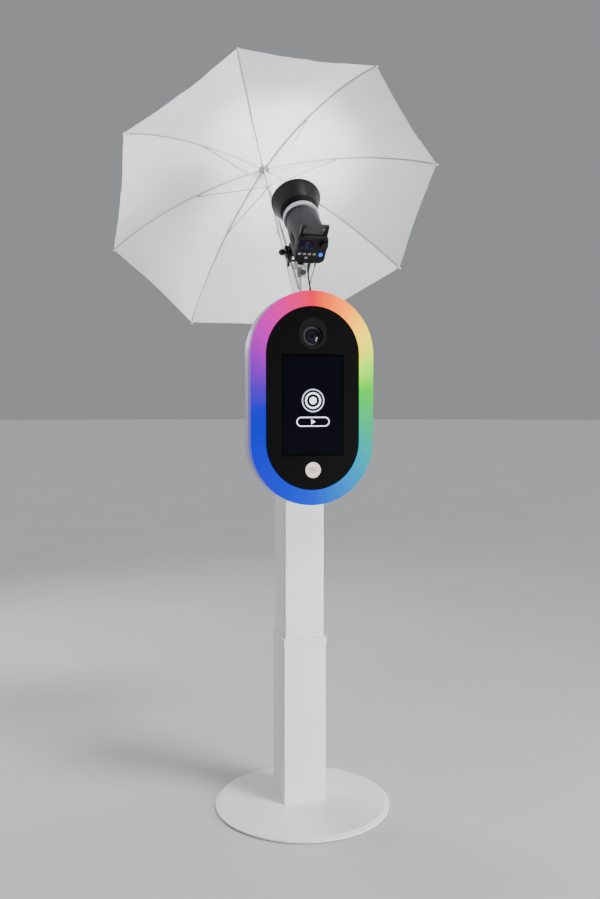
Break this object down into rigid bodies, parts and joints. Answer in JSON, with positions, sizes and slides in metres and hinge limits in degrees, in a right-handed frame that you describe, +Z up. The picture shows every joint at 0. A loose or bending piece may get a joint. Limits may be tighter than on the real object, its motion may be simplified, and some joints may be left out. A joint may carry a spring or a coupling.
{
  "type": "photo booth",
  "caption": "Free-standing photo booth: pill-shaped head with a light ring, touch screen and camera on a telescopic column, studio flash and white umbrella above.",
  "frame": {"origin": "centre of the base's underside, on the floor", "axes": "+Z up, front towards -Y, +X to the right as seen from the front"},
  "size_m": [1.2056, 1.0718, 2.6218],
  "materials": {
    "white_steel": "white powder coat, fine orange peel",
    "white_plastic": "white moulded, satin",
    "opal": "opal diffuser, lit from behind in changing colours",
    "black_steel": "matt black powder coat",
    "black_plastic": "fine textured black",
    "gloss_black": "polished black",
    "screen": "dark display",
    "screen_glass": "polished cover glass",
    "lens_coating": "coated front glass",
    "badge_face": "pale beige-pink disc",
    "flash_grey": "slate grey, fine texture",
    "ring_grey": "satin anodised",
    "dish": "black outside, bright inside",
    "zinc": "cast, satin",
    "steel": "bright drawn steel",
    "rubber": "matt",
    "electronics": "folded case",
    "lamp_glass": "frosted",
    "lit_button": "translucent blue, lit",
    "cord_black": "satin PVC",
    "umbrella_white": "white translucent nylon",
    "tape": "lamp tape"
  },
  "bodies": {
    "stand": {"base_pad": "rubber", "base_plate": "white_steel", "stand_screws": "steel", "lower_column": "white_steel", "column_collar": "white_steel"},
    "column_lock": {"column_lock_knob": "black_plastic"},
    "column": {"upper_column": "white_steel", "head_bracket": "black_steel", "rear_shell": "white_plastic", "diffuser_ring": "opal", "led_strip": "tape", "front_panel": "black_steel", "badge": "badge_face", "touch_glass": "screen_glass", "display_module": "screen", "camera_window": "gloss_black", "lens_barrel": "black_plastic", "lens_glass": "lens_coating", "camera_body": "black_plastic", "computer": "electronics", "power_supply": "electronics", "power_inlet": "black_plastic", "accessory_pole": "white_steel"},
    "focus": {"focus_ring": "black_plastic"},
    "switch": {"power_switch": "black_plastic"},
    "swivel": {"stand_adaptor": "zinc"},
    "swivel_lock": {"adaptor_knob": "black_plastic"},
    "flash": {"flash_body": "flash_grey", "flash_panel": "black_plastic", "flash_handle": "black_plastic", "lock_ring": "ring_grey", "reflector": "dish", "flash_tube": "lamp_glass", "flash_bracket": "black_plastic", "mains_plug": "cord_black", "mains_cord": "cord_black", "sync_cable": "cord_black"},
    "tilt_lock": {"tilt_handle": "black_plastic"},
    "dial": {"power_dial": "black_plastic"},
    "button": {"test_button": "lit_button"},
    "umbrella_lock": {"umbrella_knob": "black_plastic"},
    "umbrella": {"umbrella_shaft": "steel", "umbrella_canopy": "umbrella_white"},
    "runner": {"umbrella_runner": "black_plastic"},
    "rib_1": {"umbrella_rib_1": "steel"},
    "strut_1": {"stretcher_1": "steel"},
    "rib_2": {"umbrella_rib_2": "steel"},
    "strut_2": {"stretcher_2": "steel"},
    "rib_3": {"umbrella_rib_3": "steel"},
    "strut_3": {"stretcher_3": "steel"},
    "rib_4": {"umbrella_rib_4": "steel"},
    "strut_4": {"stretcher_4": "steel"},
    "rib_5": {"umbrella_rib_5": "steel"},
    "strut_5": {"stretcher_5": "steel"},
    "rib_6": {"umbrella_rib_6": "steel"},
    "strut_6": {"stretcher_6": "steel"},
    "rib_7": {"umbrella_rib_7": "steel"},
    "strut_7": {"stretcher_7": "steel"},
    "rib_8": {"umbrella_rib_8": "steel"},
    "strut_8": {"stretcher_8": "steel"}
  },
  "joints": [
    {"name": "column_slide", "type": "slide", "parent": "stand", "child": "column", "axis": [0, 0, 1], "range_m": [-0.35, 0.1]},
    {"name": "column_lock_turn", "type": "hinge", "parent": "stand", "child": "column_lock", "pos_m": [0, 0.15, 0.5953], "axis": [0, 1, 0], "range_deg": [-180, 180]},
    {"name": "focus_turn", "type": "hinge", "parent": "column", "child": "focus", "pos_m": [0, -0.105, 1.676], "axis": [0, 1, 0], "range_deg": [-45, 45]},
    {"name": "switch_rock", "type": "hinge", "parent": "column", "child": "switch", "pos_m": [0.125, -0.044, 1.287], "axis": [1, 0, 0], "range_deg": [0, 24]},
    {"name": "flash_swivel", "type": "hinge", "parent": "column", "child": "swivel", "pos_m": [0.01, 0.05, 1.91], "axis": [0, 0, 1], "range_deg": [-30, 30]},
    {"name": "swivel_lock_turn", "type": "hinge", "parent": "swivel", "child": "swivel_lock", "pos_m": [0.01, 0.02, 1.91], "axis": [0, -1, 0], "range_deg": [-180, 180]},
    {"name": "flash_tilt", "type": "hinge", "parent": "swivel", "child": "flash", "pos_m": [0.01, 0.07199, 1.95697], "axis": [1, 0, 0], "range_deg": [-25, 10], "deforming": ["mains_cord", "sync_cable"]},
    {"name": "tilt_lock_turn", "type": "hinge", "parent": "swivel", "child": "tilt_lock", "pos_m": [0.01, 0.07199, 1.95697], "axis": [1, 0, 0], "range_deg": [-90, 90]},
    {"name": "dial_turn", "type": "hinge", "parent": "flash", "child": "dial", "pos_m": [0.068, -0.03209, 2.00109], "axis": [0, 0.7071, 0.7071], "continuous": true},
    {"name": "test_press", "type": "slide", "parent": "flash", "child": "button", "axis": [0, 0.7071, 0.7071], "range_m": [0, 0.002], "stiffness_N_per_m": 400, "springref_m": -0.002},
    {"name": "umbrella_lock_turn", "type": "hinge", "parent": "flash", "child": "umbrella_lock", "pos_m": [-0.04, 0.13028, 1.99428], "axis": [-1, 0, 0], "range_deg": [-180, 180]},
    {"name": "umbrella_slide", "type": "slide", "parent": "flash", "child": "umbrella", "axis": [0, 0.7071, 0.7071], "range_m": [0, 0.16]},
    {"name": "umbrella_fold", "type": "slide", "parent": "umbrella", "child": "runner", "axis": [0, -0.7071, -0.7071], "range_m": [0, 0.19609], "deforming": ["umbrella_canopy"]},
    {"name": "rib_1_fold", "type": "hinge", "parent": "umbrella", "child": "rib_1", "pos_m": [-0.00704, 0.51845, 2.37555], "axis": [-0.4067, 0.646, -0.646], "range_deg": [0, 22.01]},
    {"name": "strut_1_fold", "type": "hinge", "parent": "rib_1", "child": "strut_1", "pos_m": [0.24236, 0.55596, 2.25602], "axis": [-0.4067, 0.646, -0.646], "range_deg": [-44.02, 0]},
    {"name": "rib_2_fold", "type": "hinge", "parent": "umbrella", "child": "rib_2", "pos_m": [-0.0137, 0.52292, 2.37108], "axis": [-0.9336, 0.2534, -0.2534], "range_deg": [0, 22.01]},
    {"name": "strut_2_fold", "type": "hinge", "parent": "rib_2", "child": "strut_2", "pos_m": [0.08414, 0.66213, 2.14985], "axis": [-0.9336, 0.2534, -0.2534], "range_deg": [-44.02, 0]},
    {"name": "rib_3_fold", "type": "hinge", "parent": "umbrella", "child": "rib_3", "pos_m": [-0.02288, 0.52275, 2.37125], "axis": [-0.9135, -0.2876, 0.2876], "range_deg": [0, 22.01]},
    {"name": "strut_3_fold", "type": "hinge", "parent": "rib_3", "child": "strut_3", "pos_m": [-0.13392, 0.65809, 2.15388], "axis": [-0.9135, -0.2876, 0.2876], "range_deg": [-44.02, 0]},
    {"name": "rib_4_fold", "type": "hinge", "parent": "umbrella", "child": "rib_4", "pos_m": [-0.0292, 0.51804, 2.37596], "axis": [-0.3584, -0.6601, 0.6601], "range_deg": [0, 22.01]},
    {"name": "strut_4_fold", "type": "hinge", "parent": "rib_4", "child": "strut_4", "pos_m": [-0.28407, 0.54621, 2.26577], "axis": [-0.3584, -0.6601, 0.6601], "range_deg": [-44.02, 0]},
    {"name": "rib_5_fold", "type": "hinge", "parent": "umbrella", "child": "rib_5", "pos_m": [-0.02896, 0.51155, 2.38245], "axis": [0.4067, -0.646, 0.646], "range_deg": [0, 22.01]},
    {"name": "strut_5_fold", "type": "hinge", "parent": "rib_5", "child": "strut_5", "pos_m": [-0.27836, 0.39202, 2.41996], "axis": [0.4067, -0.646, 0.646], "range_deg": [-44.02, 0]},
    {"name": "rib_6_fold", "type": "hinge", "parent": "umbrella", "child": "rib_6", "pos_m": [-0.0223, 0.50708, 2.38692], "axis": [0.9336, -0.2534, 0.2534], "range_deg": [0, 22.01]},
    {"name": "strut_6_fold", "type": "hinge", "parent": "rib_6", "child": "strut_6", "pos_m": [-0.12014, 0.28585, 2.52613], "axis": [0.9336, -0.2534, 0.2534], "range_deg": [-44.02, 0]},
    {"name": "rib_7_fold", "type": "hinge", "parent": "umbrella", "child": "rib_7", "pos_m": [-0.01312, 0.50725, 2.38675], "axis": [0.9135, 0.2876, -0.2876], "range_deg": [0, 22.01]},
    {"name": "strut_7_fold", "type": "hinge", "parent": "rib_7", "child": "strut_7", "pos_m": [0.09792, 0.28989, 2.52209], "axis": [0.9135, 0.2876, -0.2876], "range_deg": [-44.02, 0]},
    {"name": "rib_8_fold", "type": "hinge", "parent": "umbrella", "child": "rib_8", "pos_m": [-0.0068, 0.51196, 2.38204], "axis": [0.3584, 0.6601, -0.6601], "range_deg": [0, 22.01]},
    {"name": "strut_8_fold", "type": "hinge", "parent": "rib_8", "child": "strut_8", "pos_m": [0.24807, 0.40177, 2.41021], "axis": [0.3584, 0.6601, -0.6601], "range_deg": [-44.02, 0]}
  ],
  "couplings": [
    {"joint": "rib_1_fold", "follows": "umbrella_fold", "rad_per_m": 1.9582},
    {"joint": "strut_1_fold", "follows": "umbrella_fold", "rad_per_m": -3.9163},
    {"joint": "rib_2_fold", "follows": "umbrella_fold", "rad_per_m": 1.9582},
    {"joint": "strut_2_fold", "follows": "umbrella_fold", "rad_per_m": -3.9163},
    {"joint": "rib_3_fold", "follows": "umbrella_fold", "rad_per_m": 1.9582},
    {"joint": "strut_3_fold", "follows": "umbrella_fold", "rad_per_m": -3.9163},
    {"joint": "rib_4_fold", "follows": "umbrella_fold", "rad_per_m": 1.9582},
    {"joint": "strut_4_fold", "follows": "umbrella_fold", "rad_per_m": -3.9163},
    {"joint": "rib_5_fold", "follows": "umbrella_fold", "rad_per_m": 1.9582},
    {"joint": "strut_5_fold", "follows": "umbrella_fold", "rad_per_m": -3.9163},
    {"joint": "rib_6_fold", "follows": "umbrella_fold", "rad_per_m": 1.9582},
    {"joint": "strut_6_fold", "follows": "umbrella_fold", "rad_per_m": -3.9163},
    {"joint": "rib_7_fold", "follows": "umbrella_fold", "rad_per_m": 1.9582},
    {"joint": "strut_7_fold", "follows": "umbrella_fold", "rad_per_m": -3.9163},
    {"joint": "rib_8_fold", "follows": "umbrella_fold", "rad_per_m": 1.9582},
    {"joint": "strut_8_fold", "follows": "umbrella_fold", "rad_per_m": -3.9163}
  ]
}
